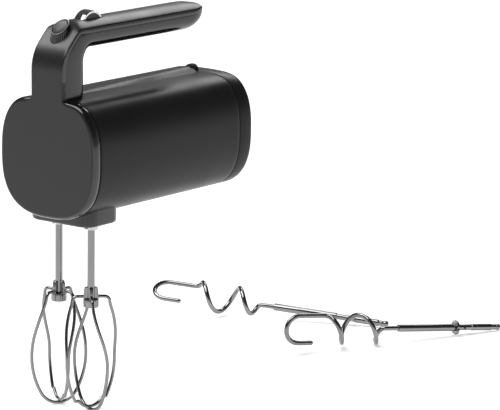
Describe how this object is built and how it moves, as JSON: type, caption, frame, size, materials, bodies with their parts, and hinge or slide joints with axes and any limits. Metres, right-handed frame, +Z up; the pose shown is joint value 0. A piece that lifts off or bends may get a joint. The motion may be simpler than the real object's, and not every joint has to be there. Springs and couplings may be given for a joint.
{
  "type": "hand mixer",
  "caption": "Electric hand mixer with an open-backed strap handle over a rounded motor body, wire beaters and loose dough hooks.",
  "frame": {"origin": "middle of the hand's grip, on the handle", "axes": "+Z up, out of the handle's top; +Y towards the rear face; +X to the user's right; beaters hang along -Z"},
  "size_m": [0.2793, 0.4717, 0.3208],
  "materials": {
    "matte_black_shell": "fine matte texture",
    "gloss_black_shell": "glossy black",
    "black_rubber": "matte",
    "satin_dark_sleeve": "satin dark grey coating",
    "satin_black_cap": "satin",
    "zinc_screw": "zinc plated",
    "cast_gearbox": "as cast",
    "sintered_bronze": "sintered, oiled",
    "steel_can": "pressed sheet",
    "ferrite": "ground",
    "nylon": "moulded",
    "carbon": "pressed graphite",
    "circuit_board": "solder mask",
    "ground_steel": "ground",
    "laminated_steel": "stacked sheets",
    "copper": "enamelled copper",
    "spring_steel": "drawn",
    "knurled_grey": "fine knurl",
    "bright_trim": "polished ring",
    "polished_steel": "polished stainless"
  },
  "bodies": {
    "housing": {"front_frame": "matte_black_shell", "bevel_ring": "gloss_black_shell", "front_gasket": "black_rubber", "body_sleeve": "satin_dark_sleeve", "rear_cap": "satin_black_cap", "chin_cover": "gloss_black_shell", "handle_half_left": "gloss_black_shell", "handle_half_right": "gloss_black_shell", "cord_spine": "gloss_black_shell", "cord_gland": "black_rubber", "cap_screws": "zinc_screw", "gearbox_base": "cast_gearbox", "gearbox_cover": "cast_gearbox", "gearbox_screws": "zinc_screw", "spindle_bushes": "sintered_bronze", "shaft_bearings": "sintered_bronze", "motor_can": "steel_can", "magnets": "ferrite", "end_bell": "nylon", "carbon_brushes": "carbon", "control_board": "circuit_board", "wheel_axle": "ground_steel", "handle_screws": "zinc_screw", "button_spring": "spring_steel"},
    "rotor": {"motor_shaft": "ground_steel", "worm": "ground_steel", "armature": "laminated_steel", "windings": "copper", "commutator": "copper", "cooling_fan": "nylon"},
    "left_drive": {"spindle_left": "ground_steel", "worm_wheel_left": "nylon"},
    "right_drive": {"spindle_right": "ground_steel", "worm_wheel_right": "nylon"},
    "left_beater": {"beater_shaft_left": "polished_steel", "beater_cage_left": "polished_steel"},
    "right_beater": {"beater_shaft_right": "polished_steel", "beater_cage_right": "polished_steel"},
    "ejector": {"eject_button": "gloss_black_shell", "eject_rod": "nylon"},
    "speed_dial": {"speed_wheel": "knurled_grey", "speed_wheel_trim": "bright_trim"},
    "rear_dough_hook": {"hook_wire_rear": "polished_steel", "hook_shank_rear": "polished_steel"},
    "front_dough_hook": {"hook_wire_front": "polished_steel", "hook_shank_front": "polished_steel"}
  },
  "joints": [
    {"name": "rotor_spin", "type": "hinge", "parent": "housing", "child": "rotor", "pos_m": [0, 0, -0.102], "axis": [0, 1, 0], "continuous": true},
    {"name": "left_drive_spin", "type": "hinge", "parent": "housing", "child": "left_drive", "pos_m": [-0.01675, -0.0654, -0.154], "axis": [0, 0, 1], "continuous": true},
    {"name": "right_drive_spin", "type": "hinge", "parent": "housing", "child": "right_drive", "pos_m": [0.01675, -0.0654, -0.154], "axis": [0, 0, 1], "continuous": true},
    {"name": "left_beater_release", "type": "slide", "parent": "left_drive", "child": "left_beater", "axis": [0, 0, -1], "range_m": [0, 0.006]},
    {"name": "right_beater_release", "type": "slide", "parent": "right_drive", "child": "right_beater", "axis": [0, 0, -1], "range_m": [0, 0.006]},
    {"name": "eject_press", "type": "slide", "parent": "housing", "child": "ejector", "axis": [0, 0, -1], "range_m": [0, 0.006], "stiffness_N_per_m": 1500, "springref_m": -0.004, "deforming": ["button_spring"]},
    {"name": "speed_turn", "type": "hinge", "parent": "housing", "child": "speed_dial", "pos_m": [0, -0.05, 0.0025], "axis": [-1, 0, 0], "range_deg": [0, 70]},
    {"name": "rear_hook_lift", "type": "slide", "parent": "housing", "child": "rear_dough_hook", "axis": [0, 0, 1], "range_m": [0, 0.15]},
    {"name": "front_hook_lift", "type": "slide", "parent": "housing", "child": "front_dough_hook", "axis": [0, 0, 1], "range_m": [0, 0.15]}
  ],
  "couplings": [
    {"joint": "left_drive_spin", "follows": "rotor_spin", "ratio": -0.066667},
    {"joint": "right_drive_spin", "follows": "rotor_spin", "ratio": 0.066667},
    {"joint": "left_beater_release", "follows": "eject_press", "ratio": 1},
    {"joint": "right_beater_release", "follows": "eject_press", "ratio": 1}
  ]
}
